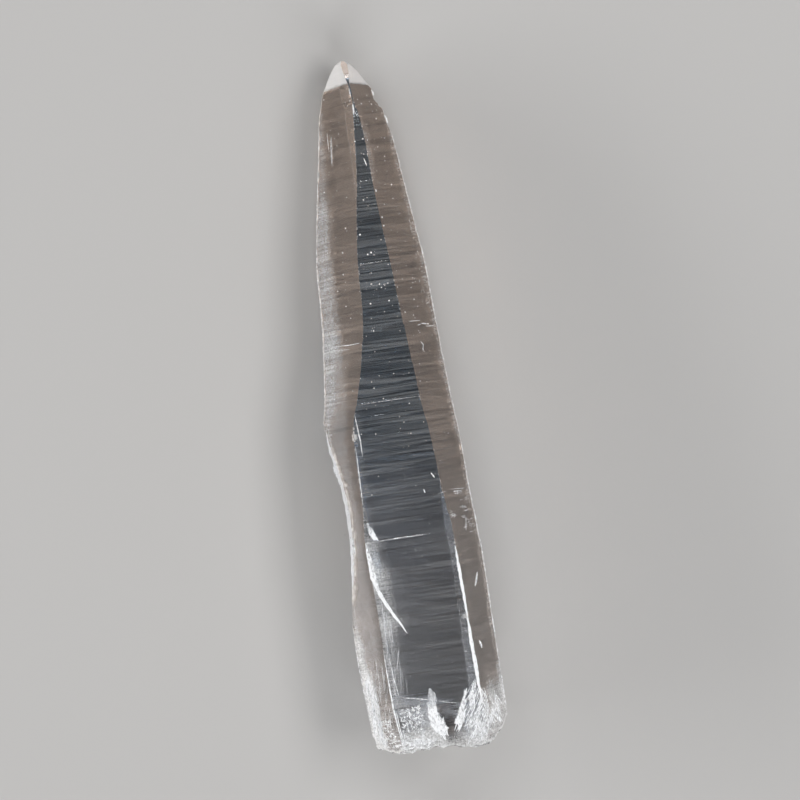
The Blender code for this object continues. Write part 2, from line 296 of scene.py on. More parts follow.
# Soft boxes of the room: name, place, size, brightness, colour
SOFT_BOXES = (
    ("left_box", (-6.8, 1.04, 1.48), (6.2, 1.48), 14.0, (1.0, 0.98, 0.95)),
    ("right_box", (5.1, -0.68, 5.7), (6.2, 2.0), 7.5, (1.0, 0.98, 0.96)),
    ("far_strip", (0.0, 4.2, 6.4), (8.3, 0.26), 24.0, (1.0, 1.0, 1.0)),
    ("near_box", (0.68, -6.5, 3.4), (5.7, 2.1), 9.0, (1.0, 1.0, 1.0)),
)
ROOM_COLOUR = (0.93, 0.96, 1.0)
HORIZON_TOP, ZENITH_FOOT = 0.05, 0.5    # the room dims between these heights of a unit sphere
FLOOR_CORNERS = 96
SENSOR_WIDTH, CLIP_START, CLIP_END = 36.0, 0.01, 20.0
BOUNCES = 24


# ---------------------------------------------------------------- curves and random fields

def through(at, xs, ys):
    """A smooth curve through points, cubic between them.

    The slope at a point is the harmonic mean of its two chords, or level where they differ in
    sign, so the curve never swings past a point.
    """
    chord = np.diff(ys) / np.diff(xs)
    product = chord[:-1] * chord[1:]
    inner = np.where(product > 0, 2 * product / np.where(product > 0, chord[:-1] + chord[1:], 1), 0)
    slope = np.concatenate([chord[:1], inner, chord[-1:]])
    k = np.clip(np.searchsorted(xs, at) - 1, 0, len(xs) - 2)
    run = xs[k + 1] - xs[k]
    t = (at - xs[k]) / run
    return ((1 + 2 * t) * (1 - t) ** 2 * ys[k] + t * (1 - t) ** 2 * run * slope[k]
            + t * t * (3 - 2 * t) * ys[k + 1] + t * t * (t - 1) * run * slope[k + 1])


def ease(value, low, high):
    """0 below low, 1 above high, and a smooth S between them: 3t^2 - 2t^3."""
    t = np.clip((value - low) / (high - low), 0, 1)
    return t * t * (3 - 2 * t)


def waves(a, b, seed, size, count=14):
    """A smooth random field from -1 to 1: a mean of sine waves of random heading and phase,
    each about one size long."""
    rng = np.random.default_rng(seed)
    heading = rng.uniform(0, 2 * math.pi, count)
    number = 2 * math.pi / (size * rng.uniform(0.6, 1.7, count))
    phase = rng.uniform(0, 2 * math.pi, count)
    total = sum(np.sin(number[i] * (np.cos(heading[i]) * a + np.sin(heading[i]) * b) + phase[i])
                for i in range(count))
    return total * 1.6 / count


def shards(a, b, seed, size, reach, tilt):
    """A field of flat splinters: the plane is split into the cells of scattered points, and each
    cell is its own plane, of random height and random tilt."""
    rng = np.random.default_rng(seed)
    low = np.array([a.min(), b.min()]) - size
    high = np.array([a.max(), b.max()]) + size
    count = int(np.prod(high - low) / size ** 2)
    seeds = rng.uniform(low, high, (count, 2))
    lift = rng.uniform(-1, 1, count) * reach
    slope = rng.normal(0, tilt, (count, 2))
    flat = np.stack([a.ravel(), b.ravel()], axis=1)
    nearest = ((flat[:, :1] - seeds[:, 0]) ** 2 + (flat[:, 1:] - seeds[:, 1]) ** 2).argmin(axis=1)
    height = lift[nearest] + ((flat - seeds[nearest]) * slope[nearest]).sum(axis=1)
    return height.reshape(a.shape)


def strips(along, seed, pitch, depth, edge=0.07):
    """Ladder striations: the crystal is split along its length into strips of random width,
    each sunk by its own share of depth, with short slopes between them."""
    rng = np.random.default_rng(seed)
    width = pitch * rng.lognormal(-0.25, 0.6, int(STRIPS_RUN / pitch))
    cut = np.cumsum(width) + STRIPS_START
    cut = cut[cut < POINT_END + 10]
    sunk = depth * rng.random(len(cut) + 1) ** 1.5
    slope = np.minimum(edge, 0.4 * width[1:len(cut) + 1])
    places = np.stack([cut - slope / 2, cut + slope / 2], axis=1).ravel()
    places = np.maximum.accumulate(places)
    levels = np.stack([sunk[:-1], sunk[1:]], axis=1).ravel()
    return np.interp(along, places, levels)


# ---------------------------------------------------------------- the crystal's shape

def face_steps(face, along):
    """How far the growth steps have drawn a face in, at each place along it. Between the steps
    the face leans out by as much, so that its mean stays on the drawn outline."""
    steps = GROWTH_STEPS.get(face, ())
    drawn_in = sum(deep * ease(along, at, at + run) for at, deep, run in steps)
    return drawn_in - sum(deep for _, deep, _ in steps) * along / POINT_END


def ladder(face, along, shift=0.0):
    """Depth of a face's striations: coarse strips that go round the whole crystal, and finer
    ones of the face's own."""
    k = FACES.index(face)
    return sum(strips(along + shift, seed + k * own, pitch, depth)
               for seed, own, pitch, depth in LADDERS)


def distances(along):
    """Distance of each face from the crystal's own origin line, for any array of places.

    The listed edges and the 120 degree rule give the corners, and each face's distance is its
    normal times one of its corners, less what its steps and striations take off.
    """
    prism = [through(np.minimum(along, POINT_FOOT), SECTIONS[:, 0], SECTIONS[:, i])
             for i in range(1, 6)]
    point = [np.interp(along, POINT[:, 0], POINT[:, i]) for i in range(1, 7)]
    tip = along > POINT_FOOT
    left, front_left, front_right, right, top = [np.where(tip, b, a) for a, b in zip(prism, point)]
    run_up = np.maximum(along - BACK_END, 0) * POINT[0, 6] / (POINT_FOOT - BACK_END)
    back = np.where(tip, point[5], run_up)
    left_height = top - FACE_SLOPE * (front_left - left)
    right_height = top - FACE_SLOPE * (right - front_right)
    through_points = ((front_left, top), (front_left, top), (front_right, top),
                      (right, right_height), (right, back), (left, left_height))
    keep = 1 - 0.75 * ease(along, POINT_FOOT - 0.3, POINT_FOOT + 0.2)
    return [x * nx + z * nz - face_steps(face, along) - ladder(face, along) * keep
            for face, (x, z), (nx, nz) in zip(FACES, through_points, NORMALS)]


def corner(spans, k):
    """Where face k - 1 meets face k: across and height."""
    (ax, az), (bx, bz) = NORMALS[k - 1], NORMALS[k % 6]
    da, db = spans[k - 1], spans[k % 6]
    cross = ax * bz - az * bx
    return (da * bz - db * az) / cross, (ax * db - bx * da) / cross


def edges_across(along):
    """The left and the right edge: how far across each stands."""
    spans = distances(along)
    return corner(spans, 0)[0], corner(spans, 3)[0]


def slant(face, along):
    """How steeply a side face's striations climb to the right, at each place along it."""
    lean = {"front left": 1.0, "front right": -1.0}.get(face, 0.0)
    return lean * SLANT * (along - SLANT_LEVEL)


def skin(along, face, share):
    """The crystal's surface: a point of a face, from its share of the way between its edges.

    Each point is the straight mix of the face's two corners at that place along. It is then
    sunk where the striations of the face's middle differ from those at its edges: they climb,
    waver, and fade in and out.
    """
    spans = distances(along)
    k = FACES.index(face)
    x0, z0 = corner(spans, k)
    x1, z1 = corner(spans, k + 1)
    middle = ease(np.minimum(share, 1 - share), 0.0, 0.07)
    climb = slant(face, along) * (share - 0.5) * (x1 - x0)
    waver = 0.06 * waves(share * 6, along * 0.25, 60 + k, 3.0) - climb
    fade = 0.85 + 0.4 * waves(share * 3, along * 0.5, 70 + k, 2.4)
    own = ladder(face, along, waver) * fade - ladder(face, along)
    swell = 0.02 * waves(share * 9, along * 0.35, 80 + k, 4.0)
    sink = middle * (own + np.abs(swell)) * (along < POINT_FOOT)
    return (x0 + (x1 - x0) * share - NORMALS[k, 0] * sink,
            z0 + (z1 - z0) * share - NORMALS[k, 1] * sink)


def top_height(across, along):
    """Height of the upper skin at a place seen from above: the lowest of the three upper faces."""
    spans = distances(np.asarray(along, float))
    planes = [(spans[k] - NORMALS[k, 0] * across) / NORMALS[k, 1] for k in range(3)]
    return np.minimum(np.minimum(planes[0], planes[1]), planes[2])


def break_along(across, height):
    """How far along the broken base stands: square to the crystal at the front face, slanting in
    with the cube of the depth behind it, bulging at the right, curling in at both sides, with
    the round ripples of a glassy break."""
    depth = np.maximum(0, 1 - height / BREAK_HEIGHT)
    slant_in = (BREAK_BACK - BREAK_SKEW * across) * depth ** 3
    bulge = BULGE * np.exp(-((across - BULGE_ACROSS) / BULGE_WIDTH) ** 2)
    left = np.maximum(0, (LEFT_CURL - across) / CURL_RUN)
    right = np.maximum(0, (across - RIGHT_CURL) / CURL_RUN)
    far = np.hypot(across - BLOW[0], height - BLOW[1])
    ripple = RIPPLE_DEPTH * np.cos(2 * math.pi * far / RIPPLE_PITCH)
    return (BREAK_FRONT + slant_in - bulge + ripple
            + LEFT_RISE * left ** 2 + RIGHT_RISE * right ** 2)


def crumble(across, height):
    """Roughness of the break, by place: rough to the left and the right, glassy in between."""
    wander = 3.6 * waves(across, height, 101, 6.0)
    rough = np.maximum(ease(-across - wander, 0.5, 5.0), ease(across + wander, 3.5, 6.0))
    return np.clip(0.2 + 0.8 * rough + 0.5 * ease(height, 16.5, 19.0), 0, 1)


def rough_break(across, height):
    """The break with its splinters: two sizes of flat shards on the round shape."""
    fine = shards(across, height, 5, 0.8, 0.10, 0.20) + shards(across, height, 6, 2.4, 0.16, 0.14)
    return break_along(across, height) + np.maximum(fine * crumble(across, height), DEEPEST_SHARD)


def face_shares(columns):
    """Shares across a face, closer together towards its two edges."""
    t = np.arange(columns) / columns
    near = 0.5 * (2 * np.minimum(t, 1 - t)) ** 2.2
    return np.where(t < 0.5, near, 1 - near)


def rows_of_skin(along, refine):
    """A closed band of the skin: every row of along, and refine columns for each plain one.

    along is one column of rows, or a full grid where rows bend. The band is a grid of points and
    of what the marks need: the number of the face and the share of the way across it.
    """
    bands = []
    first = 0
    for number, (face, columns) in enumerate(zip(FACES, FACE_COLUMNS)):
        share = np.interp(np.arange(columns * refine) / refine, np.arange(columns + 1),
                          np.append(face_shares(columns), 1.0))
        part = along if along.shape[1] == 1 else along[:, first:first + len(share)]
        place = np.broadcast_to(part, (along.shape[0], len(share)))
        across, height = skin(place, face, share[None, :])
        bands.append(np.stack([across, place, height, np.full(place.shape, float(number)),
                               np.broadcast_to(share, place.shape)], axis=2))
        first += len(share)
    return np.concatenate(bands, axis=1)


def grid_quads(rows, columns, first=0):
    """Corner numbers of the quads of a grid that closes on itself along its columns."""
    row, column = np.meshgrid(np.arange(rows - 1), np.arange(columns), indexing="ij")
    after = (column + 1) % columns
    return (first + np.stack([row * columns + column, row * columns + after,
                              (row + 1) * columns + after, (row + 1) * columns + column],
                             axis=2)).reshape(-1, 4)


def fan(first, count, tip, starts):
    """Corner numbers of the triangles that close a ring in one point, at the start of a grid or
    at its end."""
    ring = first + np.arange(count)
    after = np.roll(ring, -1)
    hub = np.full(count, tip)
    return np.stack([hub, after, ring] if starts else [ring, after, hub], axis=1)


# ---------------------------------------------------------------- the crystal's damage

def scar_line(along):
    """Across the width, where the scar has cut the left edge back to."""
    share = np.where(along < SCAR_MIDDLE, (along - SCAR_START) / (SCAR_MIDDLE - SCAR_START),
                     (SCAR_END - along) / (SCAR_END - SCAR_MIDDLE))
    return SCAR_EDGE + SCAR_DEPTH * np.sin(0.5 * math.pi * np.clip(share, 0, 1)) ** 1.5


def cut_scar(points, frost_and_highlight):
    """Presses all that stands left of the scar onto it: a steep, splintery wall.

    The place across becomes the smooth maximum of itself and the wall's, which is half of their
    sum and of the root of their squared difference plus a squared roundness.
    """
    near = ((points[:, 1] > SCAR_START) & (points[:, 1] < SCAR_END)
            & (points[:, 0] < SCAR_EDGE + SCAR_DEPTH + SCAR_REACH))
    x, y, z = points[near].T
    open_part = ease(scar_line(y) - SCAR_EDGE, 0.02, 0.8)
    chipped = 0.12 * strips(y + 0.6 * waves(y, z, 90, 4.0), 91, 0.7, 1.0)
    splinters = 0.10 * waves(y * 0.5, z, 92, 1.1) + shards(y, z, 93, 1.2, 0.08, 0.10)
    wall = scar_line(y) + (chipped + splinters) * open_part
    beyond = x - wall
    round_off = 0.3 * open_part
    moved = 0.5 * (x + wall + np.sqrt(beyond ** 2 + round_off ** 2))
    bruise = (1 - ease(beyond, 0.1, 1.4)) * (0.82 + 0.4 * waves(y, z, 94, 1.6)) * open_part
    points[near, 0] = np.where(open_part > 0, moved, x)
    frost_and_highlight[near] = np.clip(np.maximum(frost_and_highlight[near], bruise), 0, 1)


def edge_chips():
    """The scoops along the edges: edge number, along, radius and depth."""
    rng = np.random.default_rng(CHIP_SEED)
    chips = []
    for edge, start, end, count, small, large, deep in CHIP_RUNS:
        for along in rng.uniform(start, end, count):
            radius = rng.uniform(small, large)
            chips.append((edge, along, radius, radius * deep * rng.uniform(0.5, 1)))
    return chips + list(LARGE_CHIPS)


def outward(edge):
    """Direction straight out of an edge: the mean of its two faces' normals."""
    out = NORMALS[edge - 1] + NORMALS[edge]
    return out / np.hypot(*out)


def cut_chips(points, frost_and_highlight):
    """Cuts each scoop: what lies inside its ball is pushed out radially, into the crystal, onto
    the ball, which leaves a shell-shaped hollow."""
    for edge, along, radius, deep in edge_chips():
        x, z = corner(distances(np.array([along])), edge)
        out = outward(edge) * (radius - deep)
        centre = np.array([x[0] + out[0], along, z[0] + out[1]])
        near = np.flatnonzero(np.abs(points[:, 1] - along) < radius)
        offset = points[near] - centre
        far = np.linalg.norm(offset, axis=1)
        inside = far < radius
        hit, offset, far = near[inside], offset[inside], far[inside]
        points[hit] = centre + offset * (radius / np.maximum(far, 1e-6))[:, None]
        frost_and_highlight[hit] = np.maximum(frost_and_highlight[hit], CHIP_FROST)


def edge_rim_highlight(face, share, along):
    """A painted rim highlight: white next to the left and right edges, fading out across the face.
    """
    inward = np.where(np.isin(face, (0, 3)), share, 1 - share)
    outer = np.isin(face, (0, 2, 3, 5))
    bruise = 0.75 + 0.45 * waves(along, face * 9, 95, 1.5)
    return np.where(outer, bruise * (1 - ease(inward, *RIM_HIGHLIGHT_FADES)), 0)


def break_frost(across, height):
    """How white the face of the break is: as rough as it is, in patches and shards."""
    patches = (0.42 + 0.6 * waves(across, height, 99, 5.0)
               + shards(across, height, 102, 1.1, 0.4, 0.3) + 0.3 * waves(across, height, 100, 1.2))
    return crumble(across, height) * np.clip(patches, 0.08, 1)


def veil_of(face, share, along):
    """Whitish patches of the skin, with soft and ragged borders."""
    veil = np.zeros(face.shape)
    ragged = 1 + 0.22 * waves(along, share * 14, 96, 5.0)
    at = share + 0.06 * waves(along, share * 5, 97, 7.0)
    for name, patches in VEILS.items():
        on_face = face == FACES.index(name)
        for start, end, low, high, strength in patches:
            inside = (ease(along - start, -VEIL_ENDS, VEIL_ENDS)
                      * ease(end - along, -VEIL_ENDS, VEIL_ENDS)
                      * ease(at - low, -VEIL_SIDES, VEIL_SIDES)
                      * ease(high - at, -VEIL_SIDES, VEIL_SIDES))
            veil = veil + strength * inside * ragged * on_face
    return np.clip(veil * (along < POINT_FOOT + 0.01), 0, 1)


def painted_tint_strength_of(face, along):
    """How strongly the painted tints are laid on: clear at the break, more and more towards the
    point, and most of all on the lower right face there."""
    deep = 1 + 0.75 * (face == 3) * ease(along, *PAINTED_TINT_DEEPENS)
    return ease(along, *PAINTED_TINT_STARTS) * (0.62 + 0.38 * ease(along, *PAINTED_TINT_GROWS)) * deep


def point_frost_and_sheen_of(face, share, along):
    """Smooth paleness of the point's faces, partly their frosting and partly a painted highlight of
    the light they reflect. It reaches further down towards the outer edges, and starts higher on
    the narrow front face, which leaves a dark triangle of painted shade below it."""
    strength = np.array(POINT_FROST_AND_SHEEN)[face.astype(int)]
    outer = np.where(face == 0, 1 - share, np.where(face == 2, share, 0.4))
    start = POINT_FOOT - 0.75 * outer ** 1.6 + 0.22 * waves(along, share * 9 + face * 20, 98, 0.8)
    start = np.where(face == 1, POINT_FOOT + 1.9, start)
    return strength * ease(along, start - 0.55, start + 0.25)


def painted_tint_choice_of(face, along):
    """Which painted tint a face takes: -1 on the back face, 0 on the front, 1 on the upper side
    faces,
    2 on the lower ones and 3 on the narrow front face of the point. The tints are painted shade and
    painted reflection."""
    tint_choice = np.array((1.0, 0.0, 1.0, 2.0, -1.0, 2.0))[face.astype(int)]
    return np.where((face == 1) & (along > POINT_FOOT + 1.0), 3.0, tint_choice)


def climb_of(face, share, along):
    """How far a side face's striations have climbed, from its middle, in millimetres."""
    spans = distances(along)
    left, right = [corner(spans, k + 1)[0] - corner(spans, k)[0] for k in (0, 2)]
    left_lean = 0.05 + 0.10 * ease(along, 40.0, 120.0)
    right_lean = 0.26 - 0.22 * ease(along, 0.0, 70.0)
    climb = np.select([face == 0, face == 2], [left_lean * left, right_lean * right], 0.0)
    return climb * (share - 0.5)


def skin_marks(points):
    """What the material reads at each point of the skin, by name."""
    along, face, share = points[:, 1], points[:, 3], points[:, 4]
    return {
        "frost_and_highlight": edge_rim_highlight(face, share, along),
        "haze": np.array(FACE_HAZE_AND_SHEEN)[face.astype(int)] * (along < POINT_FOOT + 0.3),
        "veil": veil_of(face, share, along),
        "point_frost_and_sheen": point_frost_and_sheen_of(face, share, along),
        # side: which painted tint a face takes, painted shade or painted reflection
        "side": painted_tint_choice_of(face, along),
        "painted_tint_strength": painted_tint_strength_of(face, along),
        "climb": climb_of(face, share, along),
    }


# ---------------------------------------------------------------- putting meshes together

def place_in_frame(points):
    """Millimetres of the drawing to metres of the frame: the point meets the CAD box's far end
    and the broad base its right side."""
    shift = np.array([CAD_HIGH.x / MM - RIGHT_MOST, CAD_HIGH.y / MM - POINT_END, 0.0])
    return (points + shift) * MM


def new_piece(name, points, faces, marks, material, sharp_over):
    """Makes an object of points in millimetres and arrays of corner numbers, smooth except where
    two faces meet at more than sharp_over degrees. Each mark is one number for each point, which
    materials read by name."""
    mesh = bpy.data.meshes.new(name)
    corners = [face for block in faces for face in block.tolist()]
    mesh.from_pydata(place_in_frame(points), [], corners)
    mesh.validate()
    mesh.shade_smooth()
    mesh.set_sharp_from_angle(angle=math.radians(sharp_over))
    mesh.materials.append(material)
    for mark, values in marks.items():
        attribute = mesh.attributes.new(mark, "FLOAT", "POINT")
        attribute.data.foreach_set("value", np.asarray(values, np.float32))
    piece = bpy.data.objects.new(name, mesh)
    bpy.context.collection.objects.link(piece)
    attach(piece, "root")
    return piece


def broken_end(rim):
    """The face of the break: rings that shrink from the rim to its middle, inner ring first."""
    middle = rim[:, (0, 2)].mean(axis=0)
    inward = (1 - np.arange(1, BREAK_RINGS) / BREAK_RINGS)[:, None]
    across = middle[0] + (rim[:, 0] - middle[0]) * inward
    height = middle[1] + (rim[:, 2] - middle[1]) * inward
    settle = (rim[:, 1] - rough_break(rim[:, 0], rim[:, 2])) * inward ** 6
    ring_points = np.stack([across, rough_break(across, height) + settle, height], axis=2)
    hub = np.array([middle[0], rough_break(middle[0:1], middle[1:2])[0], middle[1]])
    return ring_points[::-1], hub


def crystal_mesh(row_pitch):
    """Points, faces and marks of the whole crystal.

    Three parts share their rims: the break, a finer band of rows that bend towards it, and the
    long upper skin.
    """
    plain = sum(FACE_COLUMNS)
    fine = plain * REFINE
    upper = np.unique(np.concatenate([
        np.arange(BROKEN_END, POINT_FOOT, row_pitch), [BACK_END, POINT_FOOT],
        np.linspace(POINT_FOOT, POINT_SHOULDER, POINT_ROWS[0]),
        np.linspace(POINT_SHOULDER, POINT_END, POINT_ROWS[1])]))
    upper_band = rows_of_skin(upper[:, None], 1)

    outline = rows_of_skin(np.array([[RIM_GUESS]]), REFINE)[0]
    rim = rough_break(outline[:, 0], outline[:, 2])
    rows = int(BROKEN_END / (LOWER_PITCH * row_pitch))
    past_rim = np.linspace(0, 1, rows, endpoint=False)[:, None] * (BROKEN_END - rim)
    lower_band = rows_of_skin(rim + past_rim, REFINE)
    cap, hub = broken_end(lower_band[0, :, :3])

    skin_points = np.concatenate([lower_band.reshape(-1, 5), upper_band.reshape(-1, 5)])
    apex = upper_band[-1, :, :3].mean(axis=0)
    points = np.concatenate([cap.reshape(-1, 3), skin_points[:, :3], [hub, apex]])
    cap_count, total = len(cap) * fine, len(points)

    fine_rows = len(cap) + len(lower_band)
    seam, first_upper = (fine_rows - 1) * fine, fine_rows * fine
    last_upper = first_upper + (len(upper) - 1) * plain
    column = np.arange(plain)
    joint = [seam + (column * REFINE + i) % fine for i in range(REFINE + 1)]
    joint += [first_upper + (column + 1) % plain, first_upper + column]
    faces = [grid_quads(fine_rows, fine), grid_quads(len(upper), plain, first_upper),
             np.stack(joint, axis=1), fan(0, fine, total - 2, True),
             fan(last_upper, plain, total - 1, False)]

    marks = {name: np.concatenate([np.zeros(cap_count), values, np.zeros(2)])
             for name, values in skin_marks(skin_points).items()}
    frost_and_highlight = marks["frost_and_highlight"]
    frost_and_highlight[:cap_count] = break_frost(points[:cap_count, 0], points[:cap_count, 2])
    rim_part = slice(cap_count, cap_count + past_rim.size)
    rim_frost = (1 - ease(past_rim.ravel(), 0.1, 0.9)) * 0.9
    frost_and_highlight[rim_part] = np.maximum(frost_and_highlight[rim_part], rim_frost)
    cut_scar(points, frost_and_highlight)
    cut_chips(points, frost_and_highlight)
    return points, faces, marks


# ---------------------------------------------------------------- materials

class Shade:
    """A shader socket used as a number: each operator adds one Math node to its recipe."""

    def __init__(self, recipe, socket):
        self.recipe = recipe
        self.socket = socket

    def maths(self, operation, *sides, clamp=False):
        settings = {"operation": operation, "use_clamp": clamp}
        return self.recipe.node("ShaderNodeMath", settings, dict(enumerate(sides)))

    def __add__(self, other):
        return self.maths("ADD", self, other)

    def __sub__(self, other):
        return self.maths("SUBTRACT", self, other)

    def __rsub__(self, other):
        return self.maths("SUBTRACT", other, self)

    def __mul__(self, other):
        return self.maths("MULTIPLY", self, other)

    __radd__ = __add__
    __rmul__ = __mul__

    def clamped(self):
        return self.maths("ADD", self, 0.0, clamp=True)

    def larger(self, other):
        return self.maths("MAXIMUM", self, other)

    def between(self, low, high, to_low=0.0, to_high=1.0):
        """Eased from to_low, where this is low, to to_high, where it is high."""
        return self.recipe.node("ShaderNodeMapRange", {"interpolation_type": "SMOOTHSTEP"},
                                {0: self, 1: low, 2: high, 3: to_low, 4: to_high})


class Recipe:
    """The nodes of a material or of the room's world, made by one method."""

    def __init__(self, owner):
        self.owner = owner
        owner.use_nodes = True
        self.tree = owner.node_tree
        self.tree.nodes.clear()

    def node(self, kind, settings=None, sockets=None, output=0):
        """Adds a node: its settings first, then the values or links of its sockets. Colours are
        given as three numbers."""
        made = self.tree.nodes.new(kind)
        for name, value in (settings or {}).items():
            setattr(made, name, value)
        for name, value in (sockets or {}).items():
            socket = made.inputs[name]
            if isinstance(value, Shade):
                self.tree.links.new(value.socket, socket)
            else:
                socket.default_value = (*value, 1.0) if socket.type == 'RGBA' else value
        return Shade(self, made.outputs[output]) if made.outputs else None

    def attribute(self, name):
        """A number that is stored on the mesh."""
        return self.node("ShaderNodeAttribute", {"attribute_name": name}, output="Fac")

    def coordinates(self, stretch=(1, 1, 1)):
        """Object coordinates in millimetres, stretched along each axis."""
        place = self.node("ShaderNodeTexCoord", output="Object")
        return self.node("ShaderNodeMapping", None,
                         {"Vector": place, "Scale": tuple(s / MM for s in stretch)})

    def parts(self, vector):
        """The three numbers of a vector."""
        first = self.node("ShaderNodeSeparateXYZ", None, {0: vector})
        return [Shade(self, socket) for socket in first.socket.node.outputs]

    def vector(self, x, y, z):
        """A vector of three numbers."""
        return self.node("ShaderNodeCombineXYZ", None, {0: x, 1: y, 2: z})

    def noise(self, where, size, detail=2.0, rough=0.5):
        """Soft noise from 0 to 1 whose lumps are about one size across."""
        return self.node("ShaderNodeTexNoise", None, {
            "Vector": where, "Scale": 1.0 / size, "Detail": detail, "Roughness": rough})

    def mix(self, share, a, b):
        """A colour between a and b."""
        return self.node("ShaderNodeMix", {"data_type": "RGBA", "clamp_factor": False},
                         {0: share, 6: a, 7: b}, 2)

    def bump(self, height, depth, strength=1.0):
        """Normals of a relief that is depth millimetres deep."""
        return self.node("ShaderNodeBump", None,
                         {"Strength": strength, "Distance": depth * MM, "Height": height})

    def finish(self, kind, **sockets):
        """Adds the output node and gives the material or the world back."""
        self.node(kind, None, sockets)
        return self.owner


def dimmed(colour, share):
    """A colour with each of its numbers times share."""
    return tuple(share * c for c in colour)


def clear_quartz(settings):
    """Clear quartz: glassy where it is clean, milky where the haze attribute says so, and white and
    dull where it is broken or bruised. The colour of its clean faces is painted light: painted
    shade on the front and back faces and a painted reflection on the side faces."""
    r = Recipe(bpy.data.materials.new("striated_quartz"))
    place = r.coordinates()
    x, y, z = r.parts(place)
    climb, frost_and_highlight, haze, point_frost_and_sheen, veil, side, painted_tint_strength = [
        r.attribute(name) for name in ("climb", "frost_and_highlight", "haze", "point_frost_and_sheen", "veil", "side", "painted_tint_strength")]
    level = y - climb
    ladders = r.noise(r.vector(x * 0.05, level * 3.4, z * 0.05), 1.0, 2.0, 0.65)
    steps = r.noise(r.vector(x * 0.02, level, z * 0.02), 1.0, 3.0, 0.6)
    bands = r.noise(r.coordinates((0.04, 0.4, 0.04)), 1.0, 1.0)
    streaks = r.noise(r.coordinates((2.6, 0.22, 2.6)), 1.0, 3.0, 0.6)
    ripples = r.noise(r.coordinates((0.4, 1.3, 0.4)), 1.0, 2.0)
    grain = r.noise(place, 0.34, 4.0, 0.65)
    # Painted light along the striations: lines and the step glints are painted highlights, the dark
    # lines painted shade
    lines = ladders.between(0.44, 0.58) * bands.between(0.35, 0.6, 0.4, 1.0)
    painted_dark_lines = ladders.between(0.34, 0.52, 0.1, 1.0)
    painted_step_glints = steps.between(0.60, 0.68)
    speckle = r.noise(place, 0.34, 3.0, 0.6).between(0.40, 0.68)
    mottle = r.noise(place, 1.1, 4.0, 0.7).between(0.35, 0.7)
    cells = r.node("ShaderNodeTexVoronoi", {"feature": "F1"},
                   {"Vector": place, "Scale": 0.7, "Randomness": 1.0}, "Distance")
    pits = (1 - cells.between(0.05, 0.11)) * r.noise(place, 2.2, 0.0).between(0.56, 0.62)

    # White cover: thin haze with painted glints along its striations and growth steps, veils,
    # broken places with the painted rim highlight, the point's paleness with its painted highlight,
    # and pits
    haze_and_glints = haze * (0.14 + mottle * side * 0.32 + painted_step_glints * 0.25
                   + lines * (0.35 + painted_tint_strength) * (1.35 - side * 0.82))
    veiled = veil * (0.50 + speckle * 0.50 + (streaks - 0.5) * 0.7 + (ladders - 0.5) * 0.4)
    # broken: the real breaks, scar and chips, and also the painted rim highlight along the left and
    # right edges
    broken = frost_and_highlight * (grain.between(0.2, 0.5, 0.45, 1.0) * streaks.between(0.34, 0.52, 0.5, 1.0))
    strong_pits = pits * y.between(-25.0, 15.0, 0.2, 0.9)
    white = (haze_and_glints + veiled).larger(broken).larger(point_frost_and_sheen).larger(strong_pits).clamped()

    # Painted light on the clean faces, by face: painted shade on the front and back faces, darker
    # along the striations, and a painted reflection on the side faces, greyer on the lower ones
    lower = (side - 1).clamped()
    window = (side - 2).clamped()
    cool = r.mix(painted_dark_lines, dimmed(settings.front_painted_shade, 0.4), settings.front_painted_shade)
    cool = r.mix((0 - side).clamped(), cool, settings.back_painted_shade)
    warm = r.mix(painted_dark_lines * 0.7 + mottle * 0.3, dimmed(settings.side_painted_reflection, 0.5),
                 settings.side_painted_reflection)
    warm = r.mix(lower, warm, settings.lower_painted_shade)
    glass = r.mix(painted_tint_strength, (1.0, 1.0, 1.0), r.mix(side.clamped(), cool, warm))

    # The white cover is the painted haze colour, a brown painted reflection, only on the toned side
    # faces and on the point's narrow front face, where it gives a peach painted reflection
    paleness = ((1 - side).larger(1 - painted_tint_strength).larger(veiled.between(0.05, 0.3)).larger(broken)
                .larger(point_frost_and_sheen.between(0.02, 0.2) * (1 - window)).larger(pits)).clamped()
    pale = r.mix(paleness, settings.painted_haze_colour, settings.frost_colour)

    relief = ladders * 0.32 + steps * 0.8 + ripples * 0.08 + grain * frost_and_highlight * 1.4
    normal = r.bump(relief, settings.relief)
    rough = r.noise(place, 6.0, 3.0).between(0.4, 0.8, settings.clear_roughness,
                                             4 * settings.clear_roughness)
    clean = r.node("ShaderNodeBsdfPrincipled", None, {
        "Base Color": glass, "Roughness": rough,
        "IOR": settings.refraction, "Transmission Weight": 1.0, "Normal": normal})
    dull = r.node("ShaderNodeBsdfPrincipled", None, {
        "Base Color": pale, "Roughness": 0.6,
        "IOR": settings.refraction, "Transmission Weight": 0.25, "Normal": normal})
    surface = r.node("ShaderNodeMixShader", None,
                     {0: white * settings.frost_cover, 1: clean, 2: dull})
    inside = r.node("ShaderNodeVolumeAbsorption", None,
                    {"Color": settings.tint, "Density": settings.tint_density})
    return r.finish("ShaderNodeOutputMaterial", Surface=surface, Volume=inside)


def white_flaw_and_glint(settings):
    """Inner cracks, flakes and bruises, and the painted glints and edge highlights: white, and
    feathery where their cover attribute fades.
    """
    r = Recipe(bpy.data.materials.new("white_flaw_and_glint"))
    feather = r.noise(r.coordinates((1.6, 0.7, 1.6)), 0.6, 5.0, 0.65)
    alpha = (r.attribute("cover") * (0.35 + 1.5 * feather.between(0.3, 0.7))).clamped()
    shade = r.mix(r.noise(r.coordinates(), 0.7, 3.0), settings.flaw_colour, FLAW_SHADE)
    surface = r.node("ShaderNodeBsdfPrincipled", None, {
        "Base Color": shade, "Roughness": 0.35, "IOR": settings.refraction, "Alpha": alpha,
        "Normal": r.bump(feather, 0.15)})
    return r.finish("ShaderNodeOutputMaterial", Surface=surface)


